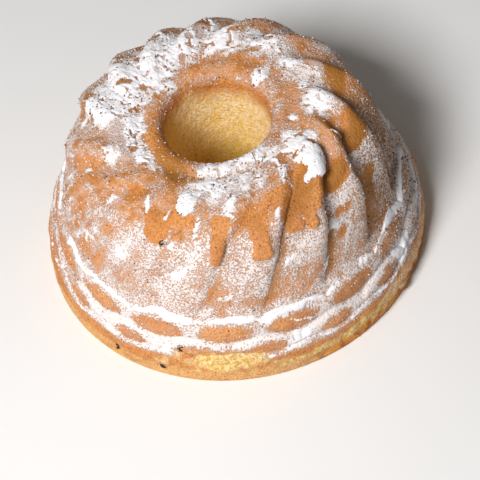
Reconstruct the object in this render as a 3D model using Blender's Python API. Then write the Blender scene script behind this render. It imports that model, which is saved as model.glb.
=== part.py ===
"""A fluted ring cake (gugelhupf), baked in a turned mould and stood on its wide end.

Metres, +Z up. The origin is the middle of the flat base. Angles run around +Z from -Y, the front,
towards +X. "run" is the distance up the wall and over the top from the shelf above the band of
scales, and "share" is how far across a flute a point lies, from the groove on its left at 0 to the
groove on its right at 1. The swirl turns every groove with the run, and the mesh's columns follow it.
"""

import math

import bmesh
import bpy
from mathutils import Vector
from mathutils.bvhtree import BVHTree

MM = 0.001

BASE_RADIUS = 115 * MM
HEIGHT = 110 * MM
HOLE_RIM_RADIUS = 32 * MM
HOLE_BASE_RADIUS = 24 * MM

FLUTES = 16
PITCH = 2 * math.pi / FLUTES
FIRST_GROOVE = math.radians(2)

# The mesh's columns across one flute, closer together where the crust dips into a groove.
SHARES = (0.0, 0.12, 0.27, 0.42, 0.56, 0.68, 0.78, 0.86, 0.93, 0.975)

# The section above the band, from the wall over the crown and the lip into the hole.
WALL_FOOT_RADIUS = 101 * MM
WALL_FOOT_HEIGHT = 50 * MM
SECTION = (
    (WALL_FOOT_RADIUS, WALL_FOOT_HEIGHT),
    (98 * MM, 65 * MM),
    (95 * MM, 80 * MM),
    (91 * MM, 92 * MM),
    (84 * MM, 101.5 * MM),
    (75 * MM, 107.5 * MM),
    (64 * MM, HEIGHT),
    (53 * MM, 108.5 * MM),
    (46 * MM, 106.6 * MM),
    (40 * MM, 108 * MM),
    (34.5 * MM, 106 * MM),
    (HOLE_RIM_RADIUS, 100 * MM),
)
SECTION_ROWS = 21
FIRST_RUN = 9 * MM  # the run of the section's first point
HOLE_HEIGHTS = (66 * MM, 4 * MM)
HOLE_BASE_CHAMFER = 1.5 * MM

# The grooves' swirl: steady up the wall, faster over the shoulder.
WALL_SWIRL = math.radians(0.24) / MM
SHOULDER_SWIRL = math.radians(15)
SHOULDER_RUNS = (50 * MM, 97 * MM)
DRIFT_RUNS = (28 * MM, 62 * MM)
BACK_DRIFT = math.radians(3.5)
LOBE_DRIFT = math.radians(2)
LAG = math.radians(4.5)  # on one side the grooves swirl less
LAG_ANGLE = math.radians(35)
LAG_HALF_ANGLE = math.radians(70)
LAG_RUNS = (40 * MM, 66 * MM)

# The flutes' depth: shallow on the wall, deep over the shoulder and gone before the lip. Grooves
# are deeper towards one side of the cake, and shallower again over the shoulder at its front left.
WALL_DEPTH = 1.35 * MM
WALL_SIDE_DEPTH = 1.5 * MM
SHOULDER_DEPTH = 4.0 * MM
SHOULDER_SIDE_DEPTH = 1.0 * MM
WALL_DEPTH_RUNS = (0, 10 * MM)
SHOULDER_DEPTH_RUNS = (20 * MM, 54 * MM)
FADE_RUNS = (66 * MM, 106 * MM)
DEEPEST_SIDE = math.radians(70)
SHALLOW_ANGLE = math.radians(-35)
SHALLOW_HALF_ANGLE = math.radians(75)
SHALLOW_SHARE = 0.75
LEAN = 2.9  # over 1 moves each flute's crest to the right, where it drops into the next groove
ROUNDNESS = 0.7

# Over the shoulder the grooves soften into wide valleys, except beside one sharp cliff.
SOFT_LEAN = 1.7
SOFT_ROUNDNESS = 1.4
SOFT_RUNS = (58 * MM, 82 * MM)
CLIFF_ANGLE = math.radians(22.5)
CLIFF_HALF_ANGLE = math.radians(18)

# The dip around the lip is filled up on one side of the cake.
DIP_FILL = 1.4 * MM
DIP_RUN = 104 * MM
DIP_HALF_RUN = 10 * MM
FILL_ANGLE = math.radians(150)
FILL_HALF_ANGLE = math.radians(115)

# The band of two rows of overlapping scales. Each row ends in a ledge that steps the wall out.
TAPER = 0.2
LEDGE_HALF = 0.8 * MM
SHELF_STEP = 2.6 * MM
MIDDLE_LEDGE_STEP = 2.2 * MM
LOW_LEDGE_STEP = 1.8 * MM
SCALE_BULGE = 0.9 * MM

FOOT_HEIGHTS = (1.2 * MM, 5 * MM, 12 * MM)
FOOT_ROUNDING = 1.5 * MM
TEAR_DEPTH = 1.8 * MM
TEAR_ANGLE = math.radians(-13)
TEAR_HALF_ANGLE = math.radians(21)
TEAR_HEIGHT = 16 * MM
TEAR_HALF_HEIGHT = 10 * MM

# Raisins that show in the crust: angle in degrees, height, and half length.
RAISINS = (
    (-30.5, 96 * MM, 1.7 * MM),
    (-24.5, 26 * MM, 2.6 * MM),
    (-30.5, 10 * MM, 2.1 * MM),
    (-46.5, 10.5 * MM, 1.7 * MM),
)
RAISIN_SINK = 0.5
RAISIN_FLATNESS = 0.7
RAISIN_WRINKLE = 0.08


def smooth(low, high, value):
    """0 below low, 1 above high, and an S curve between them."""
    share = min(max((value - low) / (high - low), 0.0), 1.0)
    return share * share * (3 - 2 * share)


def hump(middle, half, value):
    """1 at the middle, falling smoothly to 0 at half on either side."""
    return 1 - smooth(0, half, abs(value - middle))


def unevenness(angle):
    """How far the crust stands out of round at an angle."""
    waves = 0.7 * math.sin(2 * angle + 0.7) + 0.4 * math.sin(3 * angle + 2.4)
    return (waves + 0.3 * math.sin(5 * angle + 0.5)) * MM


def sag(angle):
    """How far the crown rises or sinks at an angle."""
    return (0.8 * math.sin(angle + 2.2) + 0.5 * math.sin(3 * angle)) * MM


def swirl(run, angle):
    """How far the grooves have turned at this run, for the flute that starts at this angle."""
    turned = WALL_SWIRL * run + SHOULDER_SWIRL * smooth(*SHOULDER_RUNS, run)
    back = (1 - math.cos(angle - math.radians(45))) / 2
    lobe = math.sin(3 * angle + math.radians(54))
    drift = smooth(*DRIFT_RUNS, run) * (BACK_DRIFT * back + LOBE_DRIFT * lobe)
    lag = LAG * hump(LAG_ANGLE, LAG_HALF_ANGLE, math.remainder(angle, 2 * math.pi))
    return turned + drift - lag * smooth(*LAG_RUNS, run)


def flute_depth(run, angle):
    """Depth of the grooves beside the flute at this angle."""
    side = math.cos(angle - DEEPEST_SIDE)
    wall = WALL_DEPTH + WALL_SIDE_DEPTH * ((1 + side) / 2) ** 2
    from_shallow = math.remainder(angle - SHALLOW_ANGLE, 2 * math.pi)
    shallow = SHALLOW_SHARE * hump(0, SHALLOW_HALF_ANGLE, from_shallow)
    shoulder = (SHOULDER_DEPTH + SHOULDER_SIDE_DEPTH * side) * (1 - shallow)
    depth = wall * smooth(*WALL_DEPTH_RUNS, run) + shoulder * smooth(*SHOULDER_DEPTH_RUNS, run)
    return depth * (1 - smooth(*FADE_RUNS, run))


def flute_relief(run, share, angle):
    """How far the crust lies inside the section: a leaning petal that drops into its right groove."""
    crisp = math.sin(math.pi * share**LEAN) ** ROUNDNESS
    soft = math.sin(math.pi * share**SOFT_LEAN) ** SOFT_ROUNDNESS
    cliff = hump(CLIFF_ANGLE, CLIFF_HALF_ANGLE, math.remainder(angle, 2 * math.pi))
    petal = crisp + (soft - crisp) * smooth(*SOFT_RUNS, run) * (1 - cliff)
    return flute_depth(run, angle) * (petal - 1)


def dip_fill(run, angle):
    """How far the dip around the lip is filled up."""
    away = math.remainder(angle - FILL_ANGLE, 2 * math.pi)
    return DIP_FILL * hump(DIP_RUN, DIP_HALF_RUN, run) * hump(0, FILL_HALF_ANGLE, away)


def shelf_edge(share):
    """Height of the outer edge of the shelf above the upper scales."""
    return (41 + 1.5 * math.sin(math.pi * share)) * MM


def shelf_back(share):
    """Height at which that shelf meets the wall: an arch across each flute, steeper on its right."""
    return (42 + 5.5 * math.sin(math.pi * share**1.2) ** 0.6) * MM


def middle_ledge(share):
    """Height of the lower scales' top edge: arches below the grooves, cusps half a flute on."""
    return (25.5 + 6 * abs(math.cos(math.pi * share)) ** 0.7) * MM


def low_ledge(share):
    """Height of the lower scales' bottom edge, round below each scale."""
    return (23 - 3 * abs(math.cos(math.pi * (share - 0.04)))) * MM


def tear(angle, height):
    """How deep the crust is torn at the front of the foot."""
    across = hump(TEAR_ANGLE, TEAR_HALF_ANGLE, math.remainder(angle, 2 * math.pi))
    return TEAR_DEPTH * across * hump(TEAR_HEIGHT, TEAR_HALF_HEIGHT, height)


def tapered_wall(height):
    """Radius of the plain wall's slope, carried down through the band."""
    return WALL_FOOT_RADIUS + TAPER * (WALL_FOOT_HEIGHT - height)


def band_rows(share):
    """(radius, height) of each row of the foot and the band, at this share of a flute."""
    edge, middle, low = shelf_edge(share), middle_ledge(share), low_ledge(share)
    full_step = SHELF_STEP + MIDDLE_LEDGE_STEP + LOW_LEDGE_STEP
    rows = [(BASE_RADIUS - FOOT_ROUNDING, 0.0)]
    rows += [(BASE_RADIUS, height) for height in FOOT_HEIGHTS]
    rows.append((tapered_wall(low) + full_step, low - LEDGE_HALF))
    step = full_step - LOW_LEDGE_STEP
    rows.append((tapered_wall(low) + step, low + LEDGE_HALF))
    half_way = (low + middle) / 2
    rows.append((tapered_wall(half_way) + step + SCALE_BULGE, half_way))
    rows.append((tapered_wall(middle) + step, middle - LEDGE_HALF))
    step = SHELF_STEP
    rows.append((tapered_wall(middle) + step, middle + LEDGE_HALF))
    for part in (0.35, 0.7):
        height = middle + part * (edge - middle)
        rows.append((tapered_wall(height) + step + SCALE_BULGE, height))
    rows.append((tapered_wall(edge) + step, edge))
    back = shelf_back(share)
    rows.append((tapered_wall(back), back))
    return rows


def curve_through(points, count):
    """count points, evenly spaced, with their normals, on a smooth curve through the given ones."""
    fine = []
    steps = 24
    ends = [points[0]] + list(points) + [points[-1]]
    for before, start, end, after in zip(ends, ends[1:], ends[2:], ends[3:]):
        before, start, end, after = (Vector(p) for p in (before, start, end, after))
        for step in range(steps):
            t = step / steps
            bend = (2 * before - 5 * start + 4 * end - after) * t * t
            twist = (3 * start - before - 3 * end + after) * t**3
            fine.append((2 * start + (end - before) * t + bend + twist) / 2)
    fine.append(Vector(points[-1]))
    runs = [0.0]
    for start, end in zip(fine, fine[1:]):
        runs.append(runs[-1] + (end - start).length)
    placed = []
    index = 0
    for number in range(count):
        run = runs[-1] * number / (count - 1)
        while index < len(runs) - 2 and runs[index + 1] < run:
            index += 1
        part = (run - runs[index]) / (runs[index + 1] - runs[index])
        along = fine[index + 1] - fine[index]
        normal = Vector((along.y, -along.x)).normalized()
        placed.append((fine[index] + along * part, normal, run))
    return placed


def hole_rows():
    """(radius, height) of each row down the hole's tapered wall."""
    top_height = SECTION[-1][1]
    rows = []
    for height in HOLE_HEIGHTS:
        part = (top_height - height) / top_height
        rows.append((HOLE_RIM_RADIUS + part * (HOLE_BASE_RADIUS - HOLE_RIM_RADIUS), height))
    rows.append((HOLE_BASE_RADIUS + HOLE_BASE_CHAMFER, 0.0))
    return rows


def around(radius, angle, height):
    """The point at a radius, an angle from the front and a height."""
    return Vector((radius * math.sin(angle), -radius * math.cos(angle), height))


def column_points(flute, share, section):
    """Every row's point in one column, from the base's outer edge over the top to its inner edge."""
    start = (flute + share) * PITCH
    points = []
    for radius, height in band_rows(share):
        angle = start + FIRST_GROOVE
        lift = smooth(0, FOOT_HEIGHTS[1], height)
        radius += unevenness(angle) * lift - tear(angle, height)
        points.append(around(min(radius, BASE_RADIUS), angle, height))
    for place, normal, run in section:
        run += FIRST_RUN
        angle = start + FIRST_GROOVE + swirl(run, start)
        out = flute_relief(run, share, start)
        rim = smooth(FADE_RUNS[0], FADE_RUNS[1], run)
        radius = place.x + normal.x * out + unevenness(angle) * (1 - rim)
        height = place.y + normal.y * out + sag(angle) * smooth(0.06, HEIGHT, place.y)
        height += dip_fill(run, angle)
        points.append(around(radius, angle, height))
    angle = start + FIRST_GROOVE + swirl(section[-1][2] + FIRST_RUN, start)
    points += [around(radius, angle, height) for radius, height in hole_rows()]
    return points


def crust_mesh():
    section = curve_through(SECTION, SECTION_ROWS)
    bm = bmesh.new()
    columns = []
    for flute in range(FLUTES):
        for share in SHARES:
            columns.append([bm.verts.new(p) for p in column_points(flute, share, section)])
    for left, right in zip(columns, columns[1:] + columns[:1]):
        rows = len(left)
        for row in range(rows):
            above = (row + 1) % rows
            bm.faces.new((left[row], right[row], right[above], left[above]))
    mesh = bpy.data.meshes.new("cake")
    bm.to_mesh(mesh)
    bm.free()
    return mesh


def plain_material(name, colour, roughness):
    material = bpy.data.materials.new(name)
    material.use_nodes = True
    shader = material.node_tree.nodes["Principled BSDF"]
    shader.inputs["Base Color"].default_value = (*colour, 1)
    shader.inputs["Roughness"].default_value = roughness
    shader.inputs["Metallic"].default_value = 0.0
    return material


def crust_point(crust, angle, height):
    """Where a level line from outside, aimed at the axis, first meets the crust."""
    outside = around(2 * BASE_RADIUS, angle, height)
    inward = Vector((-outside.x, -outside.y, 0)).normalized()
    return crust.ray_cast(outside, inward)[0]


def add_raisin(collection, material, place, half_length):
    """A wrinkled, flattened raisin, sunk into the crust at a place on it."""
    bm = bmesh.new()
    bmesh.ops.create_icosphere(bm, subdivisions=1, radius=half_length)
    for vert in bm.verts:
        wrinkle = math.sin(9 * vert.co.x / half_length + place.x / MM)
        vert.co *= 1 + RAISIN_WRINKLE * wrinkle
        vert.co.z *= RAISIN_FLATNESS
    mesh = bpy.data.meshes.new("raisin")
    bm.to_mesh(mesh)
    bm.free()
    mesh.materials.append(material)
    raisin = bpy.data.objects.new("raisin", mesh)
    inward = Vector((-place.x, -place.y, 0)).normalized()
    raisin.location = place + inward * RAISIN_SINK * half_length
    collection.objects.link(raisin)


def fuse(cake, collection):
    """Joins every object of the collection to the cake, as one body, and removes them."""
    union = cake.modifiers.new("fuse", "BOOLEAN")
    union.operation = "UNION"
    union.operand_type = "COLLECTION"
    union.collection = collection
    with bpy.context.temp_override(object=cake, active_object=cake):
        bpy.ops.object.modifier_apply(modifier=union.name)
    for obj in list(collection.objects):
        bpy.data.objects.remove(obj, do_unlink=True)
    bpy.data.collections.remove(collection)


def clear_scene():
    for obj in list(bpy.data.objects):
        bpy.data.objects.remove(obj, do_unlink=True)


def main():
    clear_scene()
    cake = bpy.data.objects.new("cake", crust_mesh())
    bpy.context.scene.collection.objects.link(cake)
    cake.data.materials.append(plain_material("baked_crust", (0.60, 0.29, 0.10), 0.75))
    raisins = bpy.data.collections.new("raisins")
    bpy.context.scene.collection.children.link(raisins)
    points = [vert.co for vert in cake.data.vertices]
    crust = BVHTree.FromPolygons(points, [face.vertices for face in cake.data.polygons])
    raisin_material = plain_material("raisin", (0.03, 0.015, 0.01), 0.5)
    for degrees, height, half_length in RAISINS:
        place = crust_point(crust, math.radians(degrees), height)
        add_raisin(raisins, raisin_material, place, half_length)
    fuse(cake, raisins)
    cake.data.shade_smooth()


main()
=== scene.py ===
"""The looks of a sugared gugelhupf: crust, torn crumb, icing sugar, raisins and crumbs.

Lengths are in millimetres until a mesh is made. Angles run around +Z from -Y, the front, towards +X.
"run" is the distance up the wall and over the top, counted from the height of the shelf above the
upper scales; below the shelf it is the height less the shelf's height. "turn" counts flutes around
the cake, and "share" is how far across its flute a point lies, from the groove on its left at 0 to 1.
The floor, the light and the camera are in metres.
"""

import itertools
import math

import bpy
import numpy as np
from mathutils import Matrix, Vector


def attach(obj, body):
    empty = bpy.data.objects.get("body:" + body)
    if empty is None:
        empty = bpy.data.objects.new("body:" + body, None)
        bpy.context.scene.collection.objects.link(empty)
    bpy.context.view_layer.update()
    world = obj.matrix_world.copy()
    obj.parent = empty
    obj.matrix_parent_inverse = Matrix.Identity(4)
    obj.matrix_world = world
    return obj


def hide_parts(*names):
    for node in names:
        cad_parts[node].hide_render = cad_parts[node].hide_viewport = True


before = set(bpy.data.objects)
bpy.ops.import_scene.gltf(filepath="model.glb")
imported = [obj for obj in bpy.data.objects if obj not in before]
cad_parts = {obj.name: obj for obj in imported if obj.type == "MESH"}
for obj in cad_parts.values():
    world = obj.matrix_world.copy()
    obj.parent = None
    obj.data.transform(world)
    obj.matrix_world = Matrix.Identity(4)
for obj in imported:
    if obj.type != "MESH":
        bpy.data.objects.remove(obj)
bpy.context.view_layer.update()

MM = 0.001
SEED = 7

# ---- The cake's form, as in the CAD ----

BASE_RADIUS = 115
HEIGHT = 110
HOLE_RIM_RADIUS = 32
HOLE_RIM_HEIGHT = 100
HOLE_BASE_RADIUS = 24
HOLE_BASE_CHAMFER = 1.5

FLUTES = 16
PITCH = 2 * math.pi / FLUTES
PITCH_DEGREES = 360 / FLUTES
FIRST_GROOVE_DEGREES = 2
FIRST_GROOVE = math.radians(FIRST_GROOVE_DEGREES)

SHELF_HEIGHT = 41
WALL_FOOT = (101, 50)
SECTION = (
    WALL_FOOT,
    (98, 65),
    (95, 80),
    (91, 92),
    (84, 101.5),
    (75, 107.5),
    (64, HEIGHT),
    (53, 108.5),
    (46, 106.6),
    (40, 108),
    (34.5, 106),
    (HOLE_RIM_RADIUS, HOLE_RIM_HEIGHT),
)
FIRST_RUN = WALL_FOOT[1] - SHELF_HEIGHT

WALL_SWIRL = math.radians(0.24)
SHOULDER_SWIRL = math.radians(15)
SHOULDER_RUNS = (50, 97)
DRIFT_RUNS = (28, 62)
BACK_DRIFT = math.radians(3.5)
LOBE_DRIFT = math.radians(2)
LAG = math.radians(4.5)
LAG_AROUND = (math.radians(35), math.radians(70))  # a middle and a half width, as below
LAG_RUNS = (40, 66)

WALL_DEPTH = 1.35
WALL_SIDE_DEPTH = 1.5
SHOULDER_DEPTH = 4.0
SHOULDER_SIDE_DEPTH = 1.0
WALL_DEPTH_RUNS = (0, 10)
SHOULDER_DEPTH_RUNS = (20, 54)
FADE_RUNS = (66, 106)
DEEPEST_SIDE = math.radians(70)
SHALLOW_ANGLE = math.radians(-35)
SHALLOW_HALF_ANGLE = math.radians(75)
SHALLOW_SHARE = 0.75
LEAN = 2.9
ROUNDNESS = 0.7
SOFT_LEAN = 1.7
SOFT_ROUNDNESS = 1.4
SOFT_RUNS = (58, 82)
CLIFF_AROUND = (math.radians(22.5), math.radians(18))

SAG_HEIGHT = 60
DIP_FILL = 1.4
DIP_AROUND = (104, 10)
FILL_ANGLE = math.radians(150)
FILL_HALF_ANGLE = math.radians(115)

TAPER = 0.2
LEDGE_HALF = 0.8
SHELF_STEP = 2.6
MIDDLE_LEDGE_STEP = 2.2
LOW_LEDGE_STEP = 1.8
SCALE_BULGE = 0.9
FOOT_ROUNDING = 1.5
TEAR_DEPTH = 1.8
TEAR_AROUND = (math.radians(-13), math.radians(21))
TEAR_HEIGHT_AROUND = (16, 10)
TEAR_PATCH = (-12.5, 17.5, 17, 9, 0)  # degrees, height, half sizes and lean
BAND_MM_PER_DEGREE = 1.9  # the length of a degree around the band and the wall
WALL_MM_PER_DEGREE = 1.7

RAISINS = (  # degrees, height, half size, and how hollow
    (-30.5, 96, 1.7, 0.8),
    (-24.5, 26, 2.6, 0.25),
    (-30.5, 10, 2.1, 0.7),
    (-46.5, 10.5, 1.7, 0.5),
)

# ---- The meshes' fineness ----

CRUST_COLUMNS = 720
CRUST_SPACING = 1.45
HOLE_COLUMNS = 240
HOLE_ROWS = 58
SUGAR_COLUMNS = 960
SUGAR_SPACING = 0.66


def smooth(low, high, value):
    """0 below low, 1 above high, and an S curve between them."""
    share = np.clip((value - low) / (high - low), 0, 1)
    return share * share * (3 - 2 * share)


def hump(middle, half, value):
    """1 at the middle, falling smoothly to 0 at half on either side."""
    return 1 - smooth(0, half, np.abs(value - middle))


def turned(angle):
    """The angle brought between minus and plus half a turn."""
    return (angle + math.pi) % (2 * math.pi) - math.pi


def lattice_value(corner, salt):
    """A fixed pseudo-random number from -1 to 1 at each whole-numbered point, its bits well mixed."""
    x, y, z = corner[..., 0], corner[..., 1], corner[..., 2]
    mixed = x * 73856093 ^ y * 19349663 ^ z * 83492791 ^ (SEED + salt) * 2654435761
    mixed = (mixed ^ (mixed >> 13)) * 1274126177 & 0xFFFFFFFF
    mixed = (mixed ^ (mixed >> 16)) * 2246822519 & 0xFFFFFFFF
    return ((mixed ^ (mixed >> 15)) & 0xFFFFFF) / float(0x7FFFFF) - 1


def noise(points, size, salt):
    """Smooth noise from -1 to 1 whose features are about this size, another one for each salt."""
    cell = points / size
    corner = np.floor(cell).astype(np.int64)
    part = cell - corner
    part = part * part * (3 - 2 * part)
    total = 0
    for x, y, z in np.ndindex(2, 2, 2):
        weight = np.abs(1 - x - part[..., 0]) * np.abs(1 - y - part[..., 1])
        weight = weight * np.abs(1 - z - part[..., 2])
        total = total + weight * lattice_value(corner + (x, y, z), salt)
    return total


def clump_edges(points, size, salt):
    """0 on the edges between uneven cells of about this size, rising away from them."""
    cell = points / size + 0.35 * noise(points, size / 2, salt)[..., None]
    corner = np.floor(cell).astype(np.int64)
    nearest = np.full(cell.shape[:-1], 9.0)
    second = nearest.copy()
    for step in np.ndindex(3, 3, 3):
        found = corner + step - 1
        jitter = np.stack([lattice_value(found, salt + axis) for axis in (1, 2, 3)], axis=-1)
        away = np.linalg.norm(found + 0.5 + 0.45 * jitter - cell, axis=-1)
        second = np.minimum(second, np.maximum(nearest, away))
        nearest = np.minimum(nearest, away)
    return second - nearest


def layered_noise(points, size, salt, layers=3):
    """Noise with finer, weaker noise added to it."""
    total, weight = 0, 1
    for layer in range(layers):
        total = total + weight * noise(points, size / 2**layer, salt + layer)
        weight *= 0.5
    return total


def section_curve():
    """The section above the band as a fine line: radius, height, outward normal and run."""
    ends = np.array((SECTION[0],) + SECTION + (SECTION[-1],), float)
    before, start, end, after = ends[:-3], ends[1:-2], ends[2:-1], ends[3:]
    t = (np.arange(24) / 24)[None, :, None]
    before, start, end, after = (p[:, None, :] for p in (before, start, end, after))
    bend = (2 * before - 5 * start + 4 * end - after) * t * t
    twist = (3 * start - before - 3 * end + after) * t**3
    line = ((2 * start + (end - before) * t + bend + twist) / 2).reshape(-1, 2)
    line = np.vstack((line, SECTION[-1]))
    steps = np.hypot(*np.diff(line, axis=0).T)
    run = FIRST_RUN + np.concatenate(([0], np.cumsum(steps)))
    along = np.gradient(line, run, axis=0)
    along /= np.linalg.norm(along, axis=1, keepdims=True)
    return line[:, 0], line[:, 1], along[:, 1], -along[:, 0], run


def unevenness(angle):
    waves = 0.7 * np.sin(2 * angle + 0.7) + 0.4 * np.sin(3 * angle + 2.4)
    return waves + 0.3 * np.sin(5 * angle + 0.5)


def sag(angle):
    return 0.8 * np.sin(angle + 2.2) + 0.5 * np.sin(3 * angle)


def swirl(run, angle):
    """How far the grooves have turned at this run, for the flute that starts at this angle."""
    turning = WALL_SWIRL * run + SHOULDER_SWIRL * smooth(*SHOULDER_RUNS, run)
    back = (1 - np.cos(angle - math.radians(45))) / 2
    lobe = np.sin(3 * angle + math.radians(54))
    drift = smooth(*DRIFT_RUNS, run) * (BACK_DRIFT * back + LOBE_DRIFT * lobe)
    lag = LAG * hump(*LAG_AROUND, turned(angle)) * smooth(*LAG_RUNS, run)
    return turning + drift - lag


def flute_relief(run, share, angle):
    """How far the crust lies inside the section: a leaning petal that drops into its right groove."""
    side = np.cos(angle - DEEPEST_SIDE)
    wall = WALL_DEPTH + WALL_SIDE_DEPTH * ((1 + side) / 2) ** 2
    shallow = SHALLOW_SHARE * hump(0, SHALLOW_HALF_ANGLE, turned(angle - SHALLOW_ANGLE))
    shoulder = (SHOULDER_DEPTH + SHOULDER_SIDE_DEPTH * side) * (1 - shallow)
    depth = wall * smooth(*WALL_DEPTH_RUNS, run) + shoulder * smooth(*SHOULDER_DEPTH_RUNS, run)
    depth = depth * (1 - smooth(*FADE_RUNS, run))
    crisp = np.sin(math.pi * share**LEAN) ** ROUNDNESS
    soft = np.sin(math.pi * share**SOFT_LEAN) ** SOFT_ROUNDNESS
    cliff = hump(*CLIFF_AROUND, turned(angle))
    petal = crisp + (soft - crisp) * smooth(*SOFT_RUNS, run) * (1 - cliff)
    return depth * (petal - 1)


def dip_fill(run, angle):
    """How far the dip around the lip is filled up."""
    away = turned(angle - FILL_ANGLE)
    return DIP_FILL * hump(*DIP_AROUND, run) * hump(0, FILL_HALF_ANGLE, away)


def shelf_edge(share):
    """Height of the upper scales' outer top edge."""
    return SHELF_HEIGHT + 1.5 * np.sin(math.pi * share)


def arch(share):
    """An arch over each flute, from 0 to 1, steeper on its right."""
    return np.sin(math.pi * share**1.2) ** 0.6


def shelf_back(share):
    """Height at which the shelf above the upper scales meets the wall."""
    return SHELF_HEIGHT + 1 + 5.5 * arch(share)


def middle_ledge(share):
    return 25.5 + 6 * np.abs(np.cos(math.pi * share)) ** 0.7


def low_ledge(share):
    return 23 - 3 * np.abs(np.cos(math.pi * (share - 0.04)))


def tear(angle, height):
    """How deep the crust is torn at the front of the foot."""
    across = hump(*TEAR_AROUND, turned(angle))
    return TEAR_DEPTH * across * hump(*TEAR_HEIGHT_AROUND, height)


def stretch(first, last, spacing):
    """Shares of the way from one line to the next, about this spacing apart, the last left out."""
    count = max(2, round(float(np.mean(np.hypot(*(last - first)))) / spacing))
    return np.arange(count) / count


def band_line(height, step):
    """Radius and height of a line around the band, this far out from the wall's own slope."""
    return np.array((WALL_FOOT[0] + TAPER * (WALL_FOOT[1] - height) + step, height))


def band_rows(share, spacing):
    """Radius and height of each row from the base to the foot of the wall, before unevenness."""
    full = SHELF_STEP + MIDDLE_LEDGE_STEP + LOW_LEDGE_STEP
    lower = full - LOW_LEDGE_STEP
    low, middle = low_ledge(share), middle_ledge(share)
    corners = (
        (np.zeros_like(share), full, 0),
        (low - LEDGE_HALF, full, 0),
        (low + LEDGE_HALF, lower, SCALE_BULGE),
        (middle - LEDGE_HALF, lower, 0),
        (middle + LEDGE_HALF, SHELF_STEP, SCALE_BULGE),
        (shelf_edge(share), SHELF_STEP, 0),
        (shelf_back(share), 0, 0),
        (np.full_like(share, WALL_FOOT[1]), 0, 0),
    )
    rows = []
    for (height, step, bulge), (next_height, next_step, _) in zip(corners, corners[1:]):
        line, next_line = band_line(height, step), band_line(next_height, next_step)
        for part in stretch(line, next_line, spacing):
            radius, row_height = line + part * (next_line - line)
            rows.append((radius + bulge * math.sin(math.pi * part) ** 0.6, row_height))
    return rows


def outer_form(columns, spacing):
    """The outside from the base's edge to the lip inside the hole, as grids over row and column."""
    turn = np.arange(columns) * FLUTES / columns
    share = turn % 1
    start = turn * PITCH
    radii, heights, angles, runs = [], [], [], []
    for radius, height in band_rows(share, spacing):
        angle = start + FIRST_GROOVE
        above = smooth(SHELF_HEIGHT, WALL_FOOT[1], height)
        angle = angle + above * swirl(FIRST_RUN, start)
        radius = radius + unevenness(angle) * smooth(0, 5, height) - tear(angle, height)
        foot = FOOT_ROUNDING * (1 - smooth(-1, 1.2, height))
        radii.append(np.minimum(radius, BASE_RADIUS - foot))
        heights.append(height)
        angles.append(angle)
        runs.append(height - SHELF_HEIGHT)
    *lines, run_line = section_curve()
    count = round((run_line[-1] - FIRST_RUN) / spacing)
    for run in np.linspace(FIRST_RUN, run_line[-1], count):
        angle = start + FIRST_GROOVE + swirl(run, start)
        out = flute_relief(run, share, start)
        rim = smooth(*FADE_RUNS, run)
        radius, height, outward, upward = (np.interp(run, run_line, line) for line in lines)
        radii.append(radius + outward * out + unevenness(angle) * (1 - rim))
        rise = sag(angle) * smooth(SAG_HEIGHT, HEIGHT, height)
        heights.append(height + upward * out + rise + dip_fill(run, angle))
        angles.append(angle)
        runs.append(np.full_like(start, run))
    return tuple(np.array(grid) for grid in (radii, heights, angles, runs))


def placed(radius, height, angle):
    """Points at these radii, heights and angles from the front."""
    return np.stack((radius * np.sin(angle), -radius * np.cos(angle), height), axis=-1)


def normals_of(points):
    """Outward unit normals of a grid whose columns close on themselves."""
    across = np.roll(points, -1, axis=1) - np.roll(points, 1, axis=1)
    normal = np.cross(across, np.gradient(points, axis=0))
    return normal / np.linalg.norm(normal, axis=-1, keepdims=True)


# ---- Where the sugar lies ----

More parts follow.
